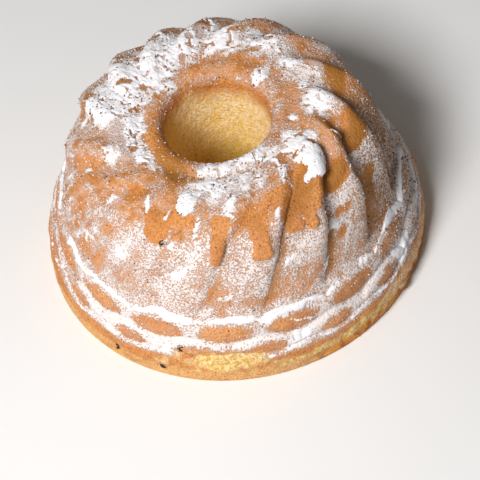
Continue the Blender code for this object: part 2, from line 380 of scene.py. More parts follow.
# Thick sugar: degrees, run, half width in degrees, half length in mm, lean in degrees per mm, and
# how solid it is.
DEPOSITS = (
    # on the wall
    (-24.5, 37, 2.6, 6, 0.6, 0.9),
    (-48, 36, 3, 5, 0.3, 0.5),
    (-46, 49, 2.2, 2.5, 0, 0.5),
    (-66, 30, 4, 6, 0.5, 0.4),
    (-60, 64, 1.6, 8, 0.4, 0.6),
    (-77, 63, 2.6, 3, 0.4, 0.6),
    (-16, 61, 1.8, 5, 0, 0.7),
    (-27, 55, 1.6, 3, 0.4, 0.8),
    (17, 36, 3.4, 3.4, 0.3, 0.9),
    (37.5, 38, 2.6, 3.2, 0, 0.8),
    (30, 17.5, 1, 4, 0.5, 0.8),
    (36.8, 59, 1.2, 2.6, 0, 0.7),
    (15, -5, 0.9, 3, -2, 0.7),
    (57, -16, 5, 7, 0, 0.9),
    (13, -15, 3.5, 4, 0, 0.6),
    (-8.7, 19, 0.8, 2.4, 0.3, 0.6),
    # over the shoulder and the top, from the front round the right side to the back
    (-23.5, 84.5, 5.5, 8.5, -0.2, 2.4),
    (-12, 97, 13, 9, 0, 0.6),
    (10, 99, 14, 9, 0, 0.35),
    (-1, 84, 3, 7, 0.3, 0.3),
    (-43, 75, 1.1, 6, -0.3, 0.7),
    (-31, 73, 0.8, 3.5, 0.3, 0.6),
    (-16, 70, 0.9, 5.5, 0.1, 0.6),
    (-2, 77, 1.1, 5, -0.5, 0.8),
    (45.5, 80, 8.5, 12, 0.55, 1.3),
    (52, 95, 12, 13, 0.35, 1.3),
    (40, 101, 9, 4, 0, 0.7),
    (31, 93, 3, 10, 0.55, 0.8),
    (5, 110.5, 32, 7.5, 0, 0.5),
    (25, 111, 20, 5, 0, 0.7),
    (35, 107, 16, 2.5, 0, 0.6),
    (65, 76, 2.4, 6.5, 0.1, 0.9),
    (17, 69, 1.5, 2, 0, 0.6),
    (77, 105, 4, 3, 0, 0.9),
    (88, 90, 13, 10, 0, 0.7),
    (102, 96, 4, 3.6, 0, 1),
    (124, 93, 6, 5, 0, 0.8),
    (130, 112, 6, 7, 0, 0.9),
    (146, 86, 15, 9, 0, 0.5),
    (168, 89, 13, 13, 0, 0.8),
    (-168, 87, 14, 16, 0, 0.9),
    (-153, 89, 15, 19, 0, 0.9),
    (-137, 89, 17, 20, 0, 0.9),
    (-120, 88, 17, 20, 0, 0.9),
    (-107, 86, 11, 17, 0, 1),
    (-163, 72, 2.5, 9, 0, 1),
    (-150, 80, 7, 7, 0, 0.9),
    (-112, 72, 7, 8, 0, 0.9),
    (-106, 66, 3, 6, 0, 0.8),
    (176, 72, 5, 10, 0, 0.8),
    (-140, 110, 9, 7, 0, 0.5),
    (-95, 101, 17, 6.5, 0, 0.8),
    (-72, 101, 16, 5.5, 0, 0.7),
    (-56, 101, 9, 3.5, 0, 0.4),
    (-77, 84, 6, 6, 0, 0.4),
)

# How the fine dusting is more or less than elsewhere: the same places, and the change.
DUSTINGS = (
    (-86, 45, 15, 36, 0.3, -0.5),
    (-66, 34, 6, 30, 0.3, 0.2),
    (-56, 49, 5, 8, 0.2, -0.3),
    (-44, 26, 9, 14, 0.2, -0.16),
    (-34, 62, 4, 9, 0, -0.7),
    (-10, 20, 4, 18, 0.2, -0.25),
    (2, 14, 9, 5, 0.2, -0.2),
    (-2, 38, 9, 12, 0.2, 0.1),
    (125, 91, 55, 14, 0, 0.22),
    (38, 31, 2.4, 5.5, 0.2, -0.9),
    (43, 42, 3, 2.6, 0, -0.9),
    (61, 34, 5, 12, 0.2, -0.8),
    (46, 50, 7, 8, 0.4, 0.12),
    (18, 19, 13, 12, 0.2, -0.18),
    (94, 40, 28, 44, 0.2, -0.17),
    (110, 88, 14, 9, 0, 0.2),
    (-22, 72, 9, 6, 0, -0.6),
    (8, 74, 12, 8, 0.3, -0.3),
    (-50, 79, 4, 8, 0, -0.5),
    (-70, 66, 5, 5, 0, -0.4),
    (-78, 64, 16, 12, 0, 0.16),
    (36, 75, 5, 14, 0.4, -0.6),
    (47, 64, 10, 9, 0.4, -0.9),
    (70, 80, 4, 8, 0.4, -0.6),
    (75, 64, 10, 9, 0.4, -0.8),
    (104, 70, 12, 6, 0.2, -0.6),
    (115, 82, 5, 6, 0.2, -0.6),
    (-60, 112, 40, 6, 0, -0.6),
    (-110, 112, 30, 6, 0, -0.1),
    (-40, 103, 12, 9, 0, -0.5),
    (105, 106, 34, 9, 0, -0.05),
    (165, 110, 45, 9, 0, -0.15),
    (-165, 108, 20, 8, 0, -0.1),
    (70, 97, 9, 12, 0, -0.05),
    (60, 20, 12, 30, 0, -0.15),
    (-72, 20, 20, 24, 0, -0.2),
    (-85, -12, 25, 16, 0, -0.35),
)

# Where the crust is darker, partly baked so and partly painted shade on sides away from the light: the
# same places, and how much.
BAKES_AND_SHADES = (
    # the lip at the front left and the trough below it: darker baking with painted shade
    (-38, 103, 14, 9, 0, 1),
    (-48, 111, 24, 8, 0, 0.8),
    # the right lobes and the right wall: painted shade on their sides away from the light
    (33, 72, 7, 18, 0.4, 0.8),
    (48, 64, 9, 10, 0.4, 1),
    (66, 76, 6, 12, 0.4, 1),
    (75, 62, 14, 12, 0.4, 1),
    (104, 72, 16, 9, 0.2, 1),
    (-158, 72, 50, 8, 0, 0.8),
    (78, 25, 30, 60, 0.2, 0.9),
    (43, -4, 30, 10, 0, 0.3),
)

# Where a greyish film of melted sugar lies: the same places, and its strength.
FILMS = (
    (8, 111, 44, 10, 0, 0.7),
    (-5, 95, 24, 13, 0, 0.9),
    (91, 88, 14, 12, 0, 0.9),
    (112, 88, 16, 7, 0, 0.2),
    (122, 92, 30, 9, 0, 0.5),
    (143, 84, 20, 12, 0, 0.8),
    (112, 80, 10, 6, 0.2, 0.5),
    (-174, 80, 16, 9, 0, 0.6),
    (-150, 96, 22, 16, 0, 0.5),
    (-85, 92, 24, 11, 0, 0.5),
)

CRACKS = (  # dark cracks in the sugar: degrees, half width in degrees, run and wave in mm
    (-6, 32, 104.5, 0.8),
    (-88, 34, 101.5, 2.2),
    (50, 9, 92, 1),
)

KNOBS = (  # lumps and pits of the crust: degrees, run, half sizes, lean as above, and height in mm
    (34.5, 66.5, 5.5, 5, 0, 1.3),
    (36.8, 59, 1.8, 3, 0, -1.5),
    (50, 66, 5, 7, 0, 0.8),
    (66, 77, 3.5, 5, 0, 1),
    (-23.5, 85, 4.5, 6, 0, 0.8),
    (46, 81, 9, 13, 0.55, 2),
    (51.6, -34, 2.2, 2.6, 0, 1.8),
)

# Smooth tongues of crust: degrees and run of their ends, half width there in degrees, how much that
# widens per mm, and lean in degrees per mm.
TONGUES = (
    (-10.3, 45, 1.4, 0.10, 0.14),
    (7, 44.5, 2.9, 0.04, 0.06),
    (22.5, 51, 2.6, 0.15, 0),
    (28.5, 48, 1.5, 0.12, 0.05),
    (33.5, 57, 5.5, 0.06, 0.2),
    (-34, 57, 3, 0.35, 0),
)
TONGUE_LENGTH = 30
TONGUE_THICKNESS = 1.7
TONGUE_ROUNDING = 2.2
BARENESS_REACH = 4  # in mm, beyond which bareness stays the same

SHOULDER = (56, 68)  # the runs over which the wall passes into the top
GROOVE_FILL = 1.0
SUGAR_THICKNESS = 1.25
THINNEST_SUGAR = 0.16
SUGAR_SUNK = 0.7  # how far thick sugar's underside lies below the crust
SIDE_SHARE = 0.55  # of the grid's rows, that lie on the band and the wall

BARE_LOBES = (  # smooth bare crust over the shoulder: degrees, run, half sizes and lean
    (49, 64, 8, 7.5, 0.3),
    (73, 66, 10, 9, 0.4),
    (67, 79, 3, 6, 0.4),
    (106, 70, 10, 5.5, 0.3),
    (34, 70, 5, 9, 0.4),
)

BAND_LENS = (12, -4.9, 9.2, 6.5)  # degrees, run, and half sizes of the upper scales' bare faces
BAND_OVAL = (3, -16.2, 6, 4.6)  # the same for the lower scales
BAND_FOOT_SCALE = (12, -27, 9.5, 5)  # and for the last row, of which the tops show


def patch(place, degrees, run):
    """1 at the middle of a leaning oval patch, 0 at its edge, and below 0 outside."""
    middle, middle_run, half_width, half_length, lean = place[:5]
    across = (degrees - middle - lean * (run - middle_run) + 180) % 360 - 180
    return 1 - np.hypot(across / half_width, (run - middle_run) / half_length)


def off_scale(degrees, middle):
    """Degrees from the nearest scale, in a row with one of them at this middle."""
    return (degrees - middle + PITCH_DEGREES / 2) % PITCH_DEGREES - PITCH_DEGREES / 2


def scale_faces(degrees, run):
    """1 at the middle of the nearest scale's bare face, 0 at its edge, and below 0 outside."""
    rows = []
    for middle, middle_run, half_width, half_length in (BAND_LENS, BAND_OVAL, BAND_FOOT_SCALE):
        across = off_scale(degrees, middle) / half_width
        rows.append(1 - np.hypot(across, (run - middle_run) / half_length))
    return np.maximum.reduce(rows)


def tongue(degrees, run):
    """How far in mm a place lies inside the nearest smooth tongue of crust, below 0 outside."""
    found = np.full(run.shape, -9.0)
    for middle, end, half, widening, lean in TONGUES:
        over = run - end
        half_here = half * (1 + 0.25 * hump(3.5, 4, over)) + widening * over
        across = (half_here - np.abs(degrees - middle - lean * over)) * WALL_MM_PER_DEGREE
        short = np.hypot(np.maximum(TONGUE_ROUNDING - across, 0), np.maximum(TONGUE_ROUNDING - over, 0))
        found = np.maximum(found, np.minimum(TONGUE_ROUNDING - short, 0.3 * (TONGUE_LENGTH - over)))
    return found


def bareness(points, degrees, run):
    """How far in mm a place lies inside crust that has no sugar, below 0 outside."""
    loose = warped(points, degrees, run)
    lobes = np.maximum.reduce([patch(place, *loose) for place in BARE_LOBES]) * 8
    found = np.maximum(lobes, tongue(degrees, run))
    found = found - 6 * smooth(71, 78, run) * hump(-36, 12, degrees)
    return np.clip(found + 1.1 * layered_noise(points, 5, 33), -BARENESS_REACH, BARENESS_REACH)


def streaks(degrees, run):
    """Noise drawn out into long leaning streaks."""
    place = np.stack(((degrees - 0.35 * run) / 2.4, run / 22, np.zeros(run.shape)), axis=-1)
    return layered_noise(place, 1.0, 50)


def left_wall(degrees, run):
    """1 on the left wall, where the sugar has run down in streaks."""
    sideways = smooth(-52, -68, degrees) * smooth(-118, -100, degrees)
    return sideways * smooth(2, 12, run) * (1 - smooth(46, 62, run))


def warped(points, degrees, run):
    """Degrees and run pushed about unevenly, so that no patch keeps a plain outline."""
    push = layered_noise(points, 10, 15, 4)
    slide = layered_noise(points, 10, 25, 4)
    return degrees + 2.6 * push, run + 2.2 * slide


def heaped(places, degrees, run):
    """The strongest of these patches at each point, below 0 outside them."""
    solid = np.full(run.shape, -2.0)
    for place in places:
        solid = np.maximum(solid, np.minimum(patch(place, degrees, run) * 2, 1) * place[-1])
    return solid


def strongest(places, softness, points, degrees, run):
    """The strongest of these patches at each point, each fading out softly towards its edge."""
    loose = warped(points, degrees, run)
    found = np.zeros(run.shape)
    for place in places:
        fade = smooth(0, softness, patch(place, *loose))
        found = np.maximum(found, fade * place[-1])
    return found


def deposit(points, degrees, run):
    """How solidly sugar covers the crust: over 0 where it has a thickness."""
    loose = warped(points, degrees, run)
    solid = heaped(DEPOSITS, *loose)
    solid = np.maximum(solid, band_sugar(points, degrees, run))
    solid = np.maximum(solid, left_wall(degrees, run) * 2.2 - 2.75 + streaks(degrees, run))
    return solid + 0.42 * layered_noise(points, 4.5, 0, 4)


def crack_share(points, degrees, run):
    """1 along the cracks between the sugar's crusts."""
    found = np.zeros(run.shape)
    for middle, half_width, crack_run, wave in CRACKS:
        line = crack_run + wave * np.sin(np.radians(degrees * 9)) + 1.6 * noise(points, 6, 11)
        along = smooth(0, 0.2, hump(middle, half_width, degrees))
        found = np.maximum(found, hump(0, 1.2, run - line) * along)
    return found * smooth(-0.2, 0.2, noise(points, 5, 12))


def blister_share(points, run):
    """1 where small blisters of the shoulder and the top stand bare of sugar."""
    small = smooth(0.4, 0.52, noise(points, 2.2, 9))
    wide = smooth(0.46, 0.54, noise(points, 6.5, 10))
    return np.maximum(small, wide) * smooth(50, 65, run)


def broken(points, degrees, run, solid):
    """The deposit with gaps where the crust's blisters stand through, and its long cracks."""
    blisters = blister_share(points, run) * (1 - smooth(1.15, 1.4, solid))
    crumbly = 0.3 * noise(points, 1.35, 13)
    return solid + crumbly - 1.9 * blisters - 2.0 * crack_share(points, degrees, run)


def crescents(along, degrees, run):
    """Sugar on the shelf above each upper scale, nearly missing on a few of them."""
    share = (degrees - FIRST_GROOVE_DEGREES) / PITCH_DEGREES % 1
    top = 1.7 + 5.4 * arch(share) + 1.5 * layered_noise(along, 13, 21)
    bottom = -0.6 + 3.2 * np.sin(math.pi * share) + 1.1 * layered_noise(along, 9, 23)
    fullness = 1.1 - 1.3 * hump(35, 14, degrees) - 0.5 * hump(-56, 14, degrees)
    fullness = fullness - 1.3 * hump(-86, 16, degrees)
    return np.minimum(np.minimum(run - bottom, top - run) / 1.3, fullness)


def drifts(along, degrees, run):
    """Sugar between the scales, with none above the torn patch and less on the left."""
    side = smooth(-0.4, -0.1, scale_faces(degrees, run))
    strength = 1.15 - 1.1 * hump(-10, 20, degrees) - 0.45 * hump(34, 22, degrees)
    strength = strength + 0.35 * layered_noise(along, 10, 24) - 0.6 * smooth(-58, -75, degrees)
    return hump(-16.5, 9, run) * (1 - side) * strength - 0.75


def low_arcs(degrees, run):
    """A thin arc of sugar under each lower scale."""
    middle, middle_run = BAND_OVAL[:2]
    line = 5.8 * np.cos(np.radians(off_scale(degrees, middle) * 8))
    arcs = 1 - np.abs(run - middle_run + line) / 1.3
    return arcs * 0.6 - 0.25 - 1.0 * hump(-14, 15, degrees)


def band_sugar(points, degrees, run):
    """How solidly sugar covers the band of scales."""
    still = np.zeros(run.shape)
    along = np.stack((degrees * BAND_MM_PER_DEGREE, still, still), axis=-1)
    lower = np.maximum(drifts(along, degrees, run), low_arcs(degrees, run))
    lower = lower + 0.15 * layered_noise(points, 6, 20)
    return np.maximum(crescents(along, degrees, run), lower)


def groove_fill(share, degrees, run):
    """How far the wall's grooves are filled up, round the front and the left."""
    close = 1 - smooth(0, 0.16, np.minimum(share, 1 - share))
    wall = smooth(4, 14, run) * (1 - smooth(52, 68, run))
    return GROOVE_FILL * close * wall * hump(-45, 64, degrees)


def groove_share(share, run):
    """1 in the grooves beside each flute's left edge, on the wall and the lower shoulder."""
    return (1 - smooth(0.06, 0.24, share)) * smooth(6, 16, run) * (1 - smooth(62, 84, run))


def settled_dust(points, degrees, run, share):
    """The fine dusting of the band, the wall and the top, before what keeps it off."""
    loose = warped(points, degrees, run)
    wall = 0.55 * smooth(-26, -20, run) * (1 - smooth(*SHOULDER, run))
    wall = wall + 0.09 * streaks(degrees, run) * smooth(2, 12, run) * (1 - smooth(50, 66, run))
    wall = wall - (0.12 + 0.16 * smooth(-5, 15, degrees)) * groove_share(share, run)
    wall = wall - 0.08 * hump(14, 10, run)
    dust = wall + 0.36 * smooth(*SHOULDER, run) * (1 - smooth(119, 123, run))
    for place in DUSTINGS:
        dust = dust + smooth(0, 0.45, patch(place, *loose)) * place[-1]
    dust = dust + 0.12 * layered_noise(points, 9, 30)
    around = heaped(DEPOSITS, *loose) + 0.42 * layered_noise(points, 4.5, 0, 2)
    dust = np.maximum(dust, 0.85 * smooth(-0.6, 0.35, around))
    left = left_wall(degrees, run)
    run_down = 0.32 + 0.26 * streaks(degrees, run) + 0.22 * layered_noise(points, 7, 51)
    return dust * (1 - left) + left * run_down


def dusting(points, degrees, run, share):
    """Share of the crust that fine sugar hides, from 0 to 1."""
    dust = settled_dust(points, degrees, run, share) + 0.3 * hump(-12, 14, run)
    faces = scale_faces(degrees, run) + 0.14 * layered_noise(points, 3.5, 34)
    clean = 0.78 - 0.35 * smooth(45, 62, degrees) * (1 - smooth(115, 165, degrees))
    dust = dust * (1 - clean * smooth(-0.1, 0.2, faces))
    torn = smooth(-29, -25, degrees) * (1 - smooth(-2, 3, degrees)) * smooth(-12, -18, run)
    bare = np.maximum(torn, 0.75 * blister_share(points, run))
    return np.clip(dust * (1 - bare) * (1 - crack_share(points, degrees, run)), 0, 1)


def film(points, degrees, run):
    """Share of the crust that melted sugar greys, from 0 to 1."""
    found = strongest(FILMS, 0.6, points, degrees, run)
    found = found + 0.25 * layered_noise(points, 5, 37) * smooth(0, 0.2, found)
    return np.clip(found * (1 - crack_share(points, degrees, run)), 0, 1)


# ---- Building the meshes ----


def crust_detail(points, degrees, run):
    """Fine relief of the crust: gentle lumps, small blisters, full scales and smooth tongues."""
    lumps = 0.35 * layered_noise(points, 11, 40) + 0.14 * noise(points, 2.2, 45)
    scales = 0.8 * smooth(-0.2, 1, scale_faces(degrees, run))
    tongues = TONGUE_THICKNESS * smooth(-0.9, 1.1, tongue(degrees, run)) * (1 - smooth(54, 66, run))
    knobs = sum(smooth(0, 0.35, patch(knob, degrees, run)) * knob[-1] for knob in KNOBS)
    crumbly = 0.6 * noise(points, 3.4, 47) * smooth(-40, -38, run) * (1 - smooth(-29, -24, run))
    cracks = -0.7 * crack_share(points, degrees, run)
    return lumps * smooth(-40, -34, run) + crumbly + scales + tongues + knobs + cracks


def crust_grids(columns, spacing):
    """Points, normals, degrees, run and share of the finished crust's outside."""
    radius, height, angle, run = outer_form(columns, spacing)
    share = np.broadcast_to((np.arange(columns) * FLUTES / columns) % 1, run.shape)
    points = placed(radius, height, angle)
    normals = normals_of(points)
    degrees = np.degrees(turned(angle))
    pores = smooth(0.1, 0.6, noise(points, 2.0, 61)) * tear_share(points, degrees, height)
    out = crust_detail(points, degrees, run) - 0.6 * pores * smooth(2, 6, height)
    out = out + groove_fill(share, degrees, run)
    points = points + normals * out[..., None]
    points[0, :, 2] = 0
    return points, normals_of(points), degrees, run, share


def linked(name, data):
    """A new object with this data, in the scene."""
    made = bpy.data.objects.new(name, data)
    bpy.context.scene.collection.objects.link(made)
    return made


def mesh_object(name, points, faces, attributes, material):
    """A smooth-shaded mesh from points in millimetres, with named values at its points."""
    mesh = bpy.data.meshes.new(name)
    mesh.vertices.add(len(points))
    mesh.vertices.foreach_set("co", (points * MM).astype(np.float32).ravel())
    corners = np.asarray(faces, np.int32)
    mesh.loops.add(corners.size)
    mesh.loops.foreach_set("vertex_index", corners.ravel())
    mesh.polygons.add(len(corners))
    starts = np.arange(0, corners.size, corners.shape[1], dtype=np.int32)
    mesh.polygons.foreach_set("loop_start", starts)
    mesh.polygons.foreach_set("use_smooth", np.ones(len(corners), bool))
    for key, values in attributes.items():
        layer = mesh.attributes.new(key, "FLOAT", "POINT")
        layer.data.foreach_set("value", np.asarray(values, np.float32).ravel())
    mesh.update()
    mesh.validate()
    mesh.materials.append(material)
    return linked(name, mesh)


def grid_triangles(rows, columns, first=0):
    """Two triangles for each cell of a grid whose columns close on themselves."""
    row, column = np.meshgrid(np.arange(rows - 1), np.arange(columns), indexing="ij")
    a = first + row * columns + column
    b = first + row * columns + (column + 1) % columns
    c, d = b + columns, a + columns
    return np.concatenate([np.stack(corners, -1).reshape(-1, 3) for corners in ((a, b, c), (a, c, d))])


def bridge_triangles(fine, coarse, ratio):
    """Triangles from a ring of points to a ring with ratio times fewer of them."""
    count = len(coarse)
    made = []
    for index in range(count):
        near, ahead = coarse[index], coarse[(index + 1) % count]
        for step in range(ratio):
            left = fine[index * ratio + step]
            right = fine[(index * ratio + step + 1) % len(fine)]
            made.append((left, right, near if step < ratio // 2 + 1 else ahead))
        switch = fine[(index * ratio + ratio // 2 + 1) % len(fine)]
        made.append((switch, ahead, near))
    return np.array(made)


def below_rim(points):
    """How far down the hole a point lies."""
    return HOLE_RIM_HEIGHT - points[..., 2]


def hole_grid(start_angle):
    """Points and angles of the crumb inside the hole, from just under the lip to the base."""
    columns = np.arange(HOLE_COLUMNS) * 2 * math.pi / HOLE_COLUMNS + start_angle
    part = (np.arange(HOLE_ROWS) + 1) / HOLE_ROWS
    radius = HOLE_RIM_RADIUS + part * (HOLE_BASE_RADIUS - HOLE_RIM_RADIUS)
    height = HOLE_RIM_HEIGHT * (1 - part)
    radius[-1] += HOLE_BASE_CHAMFER
    radius, angle = np.meshgrid(radius, columns, indexing="ij")
    height = np.broadcast_to(height[:, None], radius.shape)
    points = placed(radius, height, angle)
    pores = smooth(0.15, 0.6, noise(points, 2.6, 60)) * 0.2
    lumps = 0.4 * layered_noise(points, 8, 62)
    sunk = (pores + lumps) * smooth(0, 4, height) * smooth(0, 3, below_rim(points))
    return placed(radius + sunk, height, angle), angle


def cake_faces(rows, hole_rows):
    """Triangles of the outside, the hole and the rings that join them at the lip and the base."""
    first = rows * CRUST_COLUMNS
    outer, inner = np.arange(CRUST_COLUMNS), first + np.arange(HOLE_COLUMNS)
    ratio = CRUST_COLUMNS // HOLE_COLUMNS
    outside = grid_triangles(rows, CRUST_COLUMNS)
    inside = grid_triangles(hole_rows, HOLE_COLUMNS, first)
    lip = bridge_triangles(outer + (rows - 1) * CRUST_COLUMNS, inner, ratio)
    base = bridge_triangles(outer, inner + (hole_rows - 1) * HOLE_COLUMNS, ratio)
    return np.concatenate((outside, inside, lip, base[:, ::-1]))


def make_cake(material):
    """The whole crust and the hole's crumb, with what its material reads at each point."""
    points, _, degrees, run, share = crust_grids(CRUST_COLUMNS, CRUST_SPACING)
    hole, hole_angle = hole_grid(math.radians(degrees[-1, 0]))
    torn = tear_share(points, degrees, points[..., 2])
    orange = foot_edge(points, degrees, run)
    outside = {
        "dust": dusting(points, degrees, run, share),
        "film": film(points, degrees, run),
        "bareness": bareness(points, degrees, run),
        # darker crust: partly darker baking, partly painted shade
        "toasted": toast_and_shade_share(points, degrees, run, share),
        "golden": golden_share(points, degrees, run),
        "crumb": np.maximum(torn, 0.9 * orange),
        "torn": torn,
        "edge": orange,
        "cream": cream_share(points, degrees, run),
        # the hole's painted shade, none on the outside
        "deep": np.zeros(run.shape),
    }
    inside = {name: np.zeros(hole_angle.shape) for name in outside}
    inside["bareness"] -= BARENESS_REACH
    inside["crumb"] = hole_crumb(hole)
    # painted shade of the hole, far down and away from the light
    inside["deep"] = hole_crumb_shade(hole, hole_angle)
    attributes = {
        name: np.concatenate((outside[name].ravel(), inside[name].ravel())) for name in outside
    }
    everything = np.concatenate((points.reshape(-1, 3), hole.reshape(-1, 3)))
    return mesh_object("crust", everything, cake_faces(len(points), len(hole)), attributes, material)


def tear_share(points, degrees, height):
    """1 where the crust is torn away and the crumb shows."""
    ragged = 0.55 * layered_noise(points, 7, 70, 4)
    front = 1.3 * patch(TEAR_PATCH, degrees, height)
    seam = 1.0 - np.abs(height - 11.5 + 1.2 * np.sin(np.radians(degrees * 5))) / 4.5
    seam = np.minimum(seam, 3 * hump(26, 50, degrees) - 1.5)
    return smooth(0.0, 0.6, np.maximum(front, seam) + ragged)


def foot_edge(points, degrees, run):
    """How far the foot's last stretch is baked orange, most of all along the right."""
    ragged = run + 1.8 * layered_noise(points, 7, 74)
    around = np.minimum(1, 1.7 * hump(48, 56, degrees)) + 0.55 * hump(-45, 30, degrees)
    return smooth(-32.5, -34.5, ragged) * around


def cream_share(points, degrees, run):
    """1 on the pale stretch just above that edge."""
    ragged = run + 1.5 * layered_noise(points, 8, 73)
    top = -28 + 5 * smooth(34, 48, degrees)
    return 0.85 * smooth(top, top - 2.5, ragged) * hump(52, 62, degrees)


def golden_share(points, degrees, run):
    """How far the foot's crust has the paler gold of its last stretch above the base."""
    edge = 29.5 + 2.5 * hump(20, 60, degrees)
    return smooth(-edge + 1.5, -edge - 1.5, run + 1.5 * layered_noise(points, 8, 72))


def toast_and_shade_share(points, degrees, run, share):
    """How much darker the crust is than elsewhere, from 0 to 1: partly baked darker, partly painted
    shade on shaded sides, in the right side's grooves and in the cracks' hollows.
    """
    found = strongest(BAKES_AND_SHADES, 0.5, points, degrees, run)
    # painted shade in the grooves on the right, beside the flutes' steep flanks that face away from the
    # light
    grooves = groove_share(share, run) * hump(45, 75, degrees)
    spots = 0.5 * blister_share(points, run)
    return np.maximum.reduce([found, grooves, spots, 1.3 * crack_share(points, degrees, run)])


def hole_crumb(points):
    """The hole's wall is bare crumb below its baked rim."""
    return smooth(-2, 15, below_rim(points) + 4 * layered_noise(points, 14, 80))


def hole_crumb_shade(points, angle):
    """How much darker and more golden the hole's crumb is painted as shade: far down, and on the side
    away from the light.
    """
    down = 0.8 * smooth(15, 75, below_rim(points))
    return np.maximum(down, 0.95 * hump(math.radians(-75), math.radians(85), turned(angle)))


# ---- Materials ----

CRUST_LIGHT = (0.72, 0.30, 0.078)
CRUST_BROWN = (0.57, 0.21, 0.048)
CRUST_DARK = (0.38, 0.12, 0.025)
# darker, saturated crust: partly baked so, partly painted shade
CRUST_TOAST_AND_SHADE = (0.37, 0.15, 0.016)
CRUST_GOLDEN = (0.81, 0.44, 0.155)
CRUST_CREAM = (0.90, 0.64, 0.40)
CRUST_EDGE = (0.44, 0.12, 0.003)
CRUST_YOLK = (0.76, 0.30, 0.015)
CRUMB_LIGHT = (0.96, 0.77, 0.52)
CRUMB_DARK = (0.80, 0.53, 0.13)
CRUMB_TORN = (0.93, 0.66, 0.31)
CRUMB_TORN_DARK = (0.62, 0.36, 0.07)
# painted shade of the hole's crumb, far down and on the side away from the light
CRUMB_SHADE = (0.74, 0.45, 0.025)
# dark dots of painted shade in the pores of the crust and the crumb
PORE_SHADE_COLOUR = (0.22, 0.085, 0.02)
FILM_COLOUR = (0.66, 0.55, 0.53)
FILM_LIGHT = (0.77, 0.68, 0.66)
SUGAR_VEIL = (0.80, 0.58, 0.49)
SUGAR_DUST = (0.85, 0.78, 0.77)
SUGAR_THIN = (0.76, 0.70, 0.70)
SUGAR_THICK = (0.89, 0.88, 0.93)
RAISIN_COLOUR = (0.014, 0.009, 0.011)
FLECK_COLOUR = (0.20, 0.075, 0.025)


def add(tree, kind, inputs=None, **settings):
    """A node with its settings, and its inputs linked to a socket or set to a value."""
    made = tree.nodes.new("ShaderNode" + kind)
    for name, value in settings.items():
        setattr(made, name, value)
    for name, value in (inputs or {}).items():
        if isinstance(value, bpy.types.NodeSocket):
            tree.links.new(value, made.inputs[name])
        else:
            made.inputs[name].default_value = value
    return made


def mix(tree, factor, first, second):
    """A colour between two, each a socket or an RGB tuple."""
    ends = ((*end, 1) if isinstance(end, tuple) else end for end in (first, second))
    inputs = dict(zip((0, 6, 7), (factor, *ends)))
    return add(tree, "Mix", inputs, data_type="RGBA").outputs[2]


def blank_material(name):
    material = bpy.data.materials.new(name)
    material.use_nodes = True
    return material, material.node_tree, material.node_tree.nodes["Principled BSDF"]


def ramp(tree, value, low, high, first=0.0, last=1.0):
    """An S curve from first to last as the value goes from low to high."""
    inputs = {0: value, 1: low, 2: high, 3: first, 4: last}
    return add(tree, "MapRange", inputs, interpolation_type="SMOOTHSTEP").outputs[0]


def math_node(tree, operation, first, second):
    return add(tree, "Math", {0: first, 1: second}, operation=operation).outputs[0]


def times(tree, first, second):
    return math_node(tree, "MULTIPLY", first, second)


def blotches(tree, position, scale, detail):
    """Soft noise with this many features to a metre."""
    inputs = {"Vector": position, "Scale": scale, "Detail": detail}
    return add(tree, "TexNoise", inputs).outputs["Fac"]


def cells(tree, position, scale, output="Distance"):
    """A pattern of cells, this many to a metre."""
    return add(tree, "TexVoronoi", {"Vector": position, "Scale": scale}).outputs[output]


def finish_surface(tree, shader, colour, roughness, height, strength, distance):
    """Gives a shader its colour, and its fine relief from a height."""
    tree.links.new(colour, shader.inputs["Base Color"])
    shader.inputs["Roughness"].default_value = roughness
    bump = add(tree, "Bump", {"Height": height, "Strength": strength, "Distance": distance})
    tree.links.new(bump.outputs[0], shader.inputs["Normal"])


def sugar_speckle(tree, position, dust):
    """How much of the crust's colour a fine dusting hides, grain by grain."""
    grains = cells(tree, position, 1500.0, "Color")
    grain = add(tree, "SeparateColor", {"Color": grains}).outputs[0]
    hole = ramp(tree, cells(tree, position, 760.0), 0.2, 0.5, 1.0, 0.0)
    drift = ramp(tree, blotches(tree, position, 820.0, 3.0), 0.3, 0.7)
    value = 0.0
    for share, weight in ((grain, 0.4), (hole, 0.35), (drift, 0.35)):
        value = math_node(tree, "ADD", times(tree, share, weight), value)
    value = math_node(tree, "ADD", value, 0.04)
    over = math_node(tree, "SUBTRACT", times(tree, dust, 1.05), value)
    present = ramp(tree, dust, -0.1, 0.5, 0.1, 0.95)
    return times(tree, ramp(tree, over, -0.15, 0.15), present)


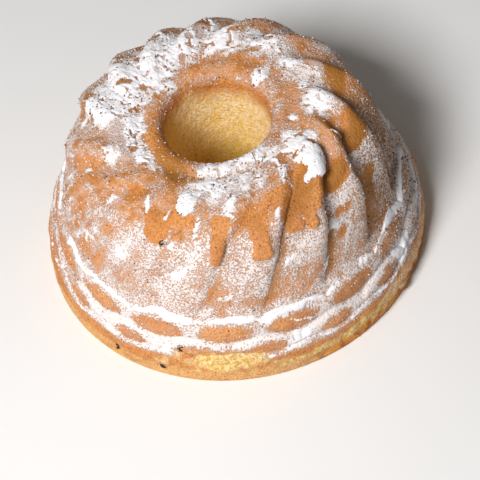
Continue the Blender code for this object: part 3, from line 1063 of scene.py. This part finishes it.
def bare_colour(tree, position, share, fine):
    """The colour of the crust and the crumb under the sugar."""
    broad = blotches(tree, position, 55.0, 4.0)
    patches = blotches(tree, position, 170.0, 3.0)
    pores = blotches(tree, position, 520.0, 4.0)
    toned = mix(tree, ramp(tree, broad, 0.35, 0.7), CRUST_LIGHT, CRUST_BROWN)
    # the darker crust is partly painted shade
    for name, colour in (("toasted", CRUST_TOAST_AND_SHADE), ("golden", CRUST_GOLDEN), ("cream", CRUST_CREAM)):
        toned = mix(tree, share[name], toned, colour)
    crust = mix(tree, ramp(tree, fine, 0.42, 0.7, 0.0, 0.8), toned, CRUST_DARK)
    crumb_dark = mix(tree, share["torn"], CRUMB_DARK, CRUMB_TORN_DARK)
    crumb_light = mix(tree, share["torn"], CRUMB_LIGHT, CRUMB_TORN)
    crumb = mix(tree, ramp(tree, pores, 0.36, 0.64), crumb_dark, crumb_light)
    # painted shade in the hole
    crumb = mix(tree, share["deep"], crumb, CRUMB_SHADE)
    edge = mix(tree, ramp(tree, patches, 0.42, 0.6), CRUST_EDGE, CRUST_YOLK)
    bare = mix(tree, share["edge"], mix(tree, share["crumb"], crust, crumb), edge)
    # painted shade in pores, as dark dots, fewer on the golden foot
    pore_shade = ramp(tree, cells(tree, position, 430.0), 0.12, 0.26, 0.6, 0.0)
    pore_shade = times(tree, pore_shade, ramp(tree, share["golden"], 0.0, 1.0, 1.0, 0.4))
    pore_shade = times(tree, pore_shade, ramp(tree, patches, 0.42, 0.62, 0.1, 1.3))
    return mix(tree, pore_shade, bare, PORE_SHADE_COLOUR)


def cake_material():
    """Crust and crumb under a film of melted sugar and a fine dusting."""
    material, tree, shader = blank_material("cake")
    position = add(tree, "TexCoord").outputs["Object"]
    names = "dust film bareness toasted golden crumb torn edge cream deep".split()
    share = {name: add(tree, "Attribute", attribute_name=name).outputs["Fac"] for name in names}
    fine = blotches(tree, position, 800.0, 3.0)
    greyed = mix(tree, share["film"], bare_colour(tree, position, share, fine), FILM_COLOUR)
    inside = math_node(tree, "ADD", share["bareness"], times(tree, fine, 1.6))
    bare_face = ramp(tree, inside, 0.55, 1.15)
    dust = times(tree, share["dust"], ramp(tree, bare_face, 0.0, 1.0, 1.0, 0.1))
    speckle = sugar_speckle(tree, position, dust)
    veil = times(tree, dust, ramp(tree, blotches(tree, position, 1300.0, 2.0), 0.35, 0.65, 0.3, 1.0))
    # less veil where shade is painted on the crust, so that it stays dark
    veil = times(tree, veil, ramp(tree, share["toasted"], 0.0, 1.0, 1.0, 0.2))
    speckled = mix(tree, speckle, mix(tree, veil, greyed, SUGAR_VEIL), SUGAR_DUST)
    sugared = mix(tree, times(tree, share["film"], 0.6), speckled, FILM_LIGHT)
    height = math_node(tree, "ADD", times(tree, speckle, 0.8), fine)
    finish_surface(tree, shader, sugared, 0.7, height, 1.0, 0.0008)
    return material


def sugar_material():
    """Thick sugar, greyer where it is thin."""
    material, tree, shader = blank_material("icing_sugar")
    position = add(tree, "TexCoord").outputs["Object"]
    depth = add(tree, "Attribute", attribute_name="depth").outputs["Fac"]
    colour = mix(tree, ramp(tree, depth, 0.05, 0.4), SUGAR_THIN, SUGAR_THICK)
    finish_surface(tree, shader, colour, 0.9, blotches(tree, position, 900.0, 3.0), 0.8, 0.0004)
    return material


def plain_material(name, colour, roughness):
    material, _, shader = blank_material(name)
    shader.inputs["Base Color"].default_value = (*colour, 1)
    shader.inputs["Roughness"].default_value = roughness
    return material


# ---- Thick sugar ----


def sugar_layer(points, normals, degrees, run):
    """The cells of the crust's grid that thick sugar covers, its two faces and its depth."""
    solid = broken(points, degrees, run, deposit(points, degrees, run))
    clumps = 0.13 * smooth(0, 0.3, clump_edges(points, 3.6, 91))
    clumps = clumps + 0.12 * smooth(0, 0.4, clump_edges(points, 1.9, 95))
    lumps = 0.7 + clumps + 0.14 * layered_noise(points, 4.2, 90) + 0.08 * noise(points, 1.4, 94)
    depth = smooth(-0.1, 1.3, solid) * SUGAR_THICKNESS * lumps
    up = depth - THINNEST_SUGAR
    keep = up > 0
    covered = keep[:-1] | keep[1:]
    covered = covered | np.roll(covered, -1, axis=1)
    top = points + normals * np.maximum(up, -0.15)[..., None]
    bottom = points - normals * SUGAR_SUNK
    return covered, top, bottom, depth


def sugar_pieces(crust, material):
    """Thick sugar as thin closed pieces on the crust, their rims sunk into it."""
    covered, *grids = sugar_layer(*crust)
    rows = len(grids[0])
    split = int(rows * SIDE_SHARE)
    pieces = []
    for name, first, last in (("sugar_on_side", 0, split), ("sugar_on_top", split, rows - 1)):
        parts = (grid[first : last + 1] for grid in grids)
        pieces.append(shell(name, covered[first:last], *parts, material))
    return pieces


def shell(name, covered, top, bottom, depth, material):
    """A closed mesh between two grids, over the cells that are covered."""
    rows, columns = covered.shape
    size = (rows + 1) * columns
    row, column = np.nonzero(covered)
    after = (column + 1) % columns
    a, b = row * columns + column, row * columns + after
    c, d = b + columns, a + columns
    quads = np.stack((a, b, c, d), -1)
    under = quads[:, ::-1] + size
    sides = []
    padded = np.zeros((rows + 2, columns), bool)
    padded[1:-1] = covered
    for (first, second), neighbour in (
        ((a, b), padded[row, column]),
        ((c, d), padded[row + 2, column]),
        ((b, c), covered[row, after]),
        ((d, a), covered[row, column - 1]),
    ):
        open_edge = ~neighbour
        first, second = first[open_edge], second[open_edge]
        sides.append(np.stack((second, first, first + size, second + size), -1))
    faces = np.concatenate([quads, under] + sides)
    used, faces = np.unique(faces, return_inverse=True)
    faces = faces.reshape(-1, 4)
    points = np.concatenate((top.reshape(-1, 3), bottom.reshape(-1, 3)))[used]
    depths = np.concatenate((depth.ravel(), depth.ravel()))[used]
    return mesh_object(name, points, faces, {"depth": depths}, material)


# ---- Loose bits ----

GRAIN_COUNT = 8000
FLECK_COUNT = 1900
CRUMB_COUNT = 260
GRAIN_SIZES = (0.22, 0.75)  # half lengths in mm
FLECK_SIZES = (0.22, 0.7)
CRUMB_SIZES = (0.3, 0.8)
RAISIN_LUMPS = 14
RAISIN_LUMP_SIZES = (0.5, 0.95)


def lump_form():
    """The corners and faces of a twenty-sided lump."""
    golden = (1 + math.sqrt(5)) / 2
    corners = []
    for long_side in (-golden, golden):
        for short_side in (-1, 1):
            corner = (0, short_side, long_side)
            corners += [corner[turn:] + corner[:turn] for turn in range(3)]
    corners = np.array(corners) / math.hypot(1, golden)
    faces = []
    for a, b, c in itertools.combinations(range(12), 3):
        sides = [np.linalg.norm(corners[i] - corners[j]) for i, j in ((a, b), (b, c), (a, c))]
        if max(sides) < 1.1:
            middle = corners[a] + corners[b] + corners[c]
            turn = np.dot(np.cross(corners[b] - corners[a], corners[c] - corners[a]), middle)
            faces.append((a, b, c) if turn > 0 else (a, c, b))
    return corners, np.array(faces)


def scattered(name, places, sizes, draw, material):
    """One mesh of uneven lumps of these sizes, one at each place."""
    corners, faces = lump_form()
    count = len(places)
    spin = np.linalg.qr(draw.normal(size=(count, 3, 3)))[0]
    spin = spin * np.sign(np.linalg.det(spin))[:, None, None]
    uneven = corners[None] * draw.uniform(0.7, 1.15, (count, 12, 1))
    uneven = uneven * draw.uniform(0.6, 1.0, (count, 1, 3))
    half = sizes[0] + (sizes[1] - sizes[0]) * draw.random(count) ** 2
    points = places[:, None] + half[:, None, None] * np.einsum("nij,nkj->nki", spin, uneven)
    all_faces = (faces[None] + 12 * np.arange(count)[:, None, None]).reshape(-1, 3)
    return mesh_object(name, points.reshape(-1, 3), all_faces, {}, material)


def picked(points, normals, weights, count, draw, lift):
    """Places drawn on the crust by weight, this far above it."""
    chance = weights.ravel() * np.hypot(points[..., 0], points[..., 1]).ravel()
    chosen = draw.choice(chance.size, count, replace=False, p=chance / chance.sum())
    spots = points.reshape(-1, 3)[chosen] + normals.reshape(-1, 3)[chosen] * lift
    return spots + draw.normal(size=spots.shape) * 0.12


def grain_weights(points, degrees, run, solid):
    """Loose grains lie round the thick sugar, and thinly elsewhere, more of them on the right wall."""
    bare = smooth(-0.5, 0.5, bareness(points, degrees, run))
    above_foot = smooth(-26, -20, run)
    around = smooth(-1.2, 0, solid) * (1 - smooth(0.1, 0.5, solid)) * (1 - bare) * above_foot
    right_wall = 0.5 * hump(85, 45, degrees) * (1 - smooth(56, 66, run))
    return (0.12 + right_wall) * above_foot * (1 - bare) + around


def fleck_weights(points, degrees, run, solid):
    """Flecks lie on the top's thick sugar, and thinly on the wall, more of them on the right."""
    thick = smooth(0, 0.4, solid) * smooth(60, 75, run) * smooth(-0.3, 0.5, noise(points, 9, 97))
    thick = thick * (1 - 0.6 * hump(50, 16, degrees))
    right_wall = 0.25 * hump(80, 40, degrees) * (1 - smooth(60, 70, run))
    return thick + (0.04 + right_wall) * smooth(-20, -5, run)


def loose_bits(crust, sugar):
    """Loose lumps of sugar, flecks of crust on the sugar and crumbs round the foot."""
    draw = np.random.default_rng(SEED)
    points, normals, degrees, run = crust
    solid = deposit(points, degrees, run)
    grains = grain_weights(points, degrees, run, solid)
    flecks = fleck_weights(points, degrees, run, solid)
    foot = smooth(-41, -38, run) * (1 - smooth(-20, -10, run))
    brown = plain_material("crust_fleck", FLECK_COLOUR, 0.8)
    tan = plain_material("loose_crumb", CRUST_LIGHT, 0.9)
    made = []
    for name, weights, count, lift, sizes, material in (
        ("sugar_grains", grains, GRAIN_COUNT, 0.1, GRAIN_SIZES, sugar),
        ("crust_flecks", flecks, FLECK_COUNT, 0.55, FLECK_SIZES, brown),
        ("crumbs", foot, CRUMB_COUNT, 0.1, CRUMB_SIZES, tan),
    ):
        places = picked(points, normals, weights, count, draw, lift)
        made.append(scattered(name, places, sizes, draw, material))
    return made


def make_raisins(crust):
    """Torn, wrinkled raisins baked into the crust: each a broken ring of dark lumps."""
    draw = np.random.default_rng(SEED + 3)
    points, normals, degrees, run = crust
    spots = []
    for place, height, half, hollow in RAISINS:
        across = (degrees - place) * BAND_MM_PER_DEGREE
        away = np.hypot(across, points[..., 2] - height) + 99 * (run > 70)
        nearest = np.unravel_index(np.argmin(away), away.shape)
        sideways = np.cross((0, 0, 1), normals[nearest])
        upward = np.cross(normals[nearest], sideways)
        for lump in range(RAISIN_LUMPS):
            turn = lump * 1.7 * math.pi / RAISIN_LUMPS + place
            reach = half * draw.uniform(hollow, 1.15)
            slide = sideways * 0.7 * math.cos(turn) + upward * math.sin(turn)
            spots.append(points[nearest] + slide * reach + normals[nearest] * 0.45)
    material = plain_material("raisin", RAISIN_COLOUR, 0.35)
    return scattered("raisins", np.array(spots), RAISIN_LUMP_SIZES, draw, material)


# ---- Stage ----


FLOOR_HALF = 3.0
FLOOR_COLOUR = (0.84, 0.845, 0.86)
KEY_ANGLE = math.radians(-38)
KEY_ELEVATION = math.radians(51)
KEY_DISTANCE = 1.6
KEY_SIZE = 0.5
KEY_POWER = 28
KEY_COLOUR = (1.0, 0.985, 0.96)
KEY_AIM = (0, 0, 0.05)
SKY_COLOUR = (1.0, 0.93, 0.84)
SKY_STRENGTH = 0.135


def make_floor():
    half = FLOOR_HALF
    corners = [(-half, -half, 0), (half, -half, 0), (half, half, 0), (-half, half, 0)]
    mesh = bpy.data.meshes.new("floor")
    mesh.from_pydata(corners, [], [(0, 1, 2, 3)])
    mesh.materials.append(plain_material("floor", FLOOR_COLOUR, 0.6))
    floor = linked("floor", mesh)


def make_light():
    """A soft square light from the front left, and weak, even light from all round."""
    world = bpy.data.worlds.new("studio")
    world.use_nodes = True
    background = world.node_tree.nodes["Background"]
    background.inputs["Color"].default_value = (*SKY_COLOUR, 1)
    background.inputs["Strength"].default_value = SKY_STRENGTH
    bpy.context.scene.world = world
    data = bpy.data.lights.new("key", "AREA")
    data.size = KEY_SIZE
    data.energy = KEY_POWER
    data.color = KEY_COLOUR
    light = linked("key", data)
    flat = KEY_DISTANCE * math.cos(KEY_ELEVATION)
    rise = KEY_DISTANCE * math.sin(KEY_ELEVATION)
    light.location = (flat * math.sin(KEY_ANGLE), -flat * math.cos(KEY_ANGLE), rise)
    aim = Vector(KEY_AIM) - Vector(light.location)
    light.rotation_euler = aim.to_track_quat("-Z", "Y").to_euler()
    bpy.context.scene.view_settings.view_transform = "Standard"


CAMERA_ELEVATION = math.radians(51.6)
CAMERA_ROLL = math.radians(11)
CAMERA_DISTANCE = 2.0
CAMERA_LENS = 244.5
CAMERA_AIM = (0.00153, 0.00736)  # how far right of the base's middle and below it the camera aims


def make_camera():
    """A long lens looking down on the cake, rolled a little."""
    view = Vector((0, -math.cos(CAMERA_ELEVATION), math.sin(CAMERA_ELEVATION)))
    level = Vector((1, 0, 0))
    upward = view.cross(level)
    right = level * math.cos(CAMERA_ROLL) - upward * math.sin(CAMERA_ROLL)
    up = level * math.sin(CAMERA_ROLL) + upward * math.cos(CAMERA_ROLL)
    location = view * CAMERA_DISTANCE
    back = (location - (right * CAMERA_AIM[0] - up * CAMERA_AIM[1])).normalized()
    right = (right - back * right.dot(back)).normalized()
    data = bpy.data.cameras.new("camera")
    data.sensor_width = 36
    data.lens = CAMERA_LENS
    data.clip_end = 20
    camera = linked("camera", data)
    turn = Matrix((right, back.cross(right), back)).transposed()
    camera.matrix_world = Matrix.Translation(location) @ turn.to_4x4()
    bpy.context.scene.camera = camera


def put_on_body(piece):
    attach(piece, "root")
    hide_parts("cake")


def main():
    make_camera()
    make_light()
    make_floor()
    put_on_body(make_cake(cake_material()))
    crust = crust_grids(SUGAR_COLUMNS, SUGAR_SPACING)[:4]
    sugar = sugar_material()
    for piece in sugar_pieces(crust, sugar) + loose_bits(crust, sugar) + [make_raisins(crust)]:
        put_on_body(piece)


main()
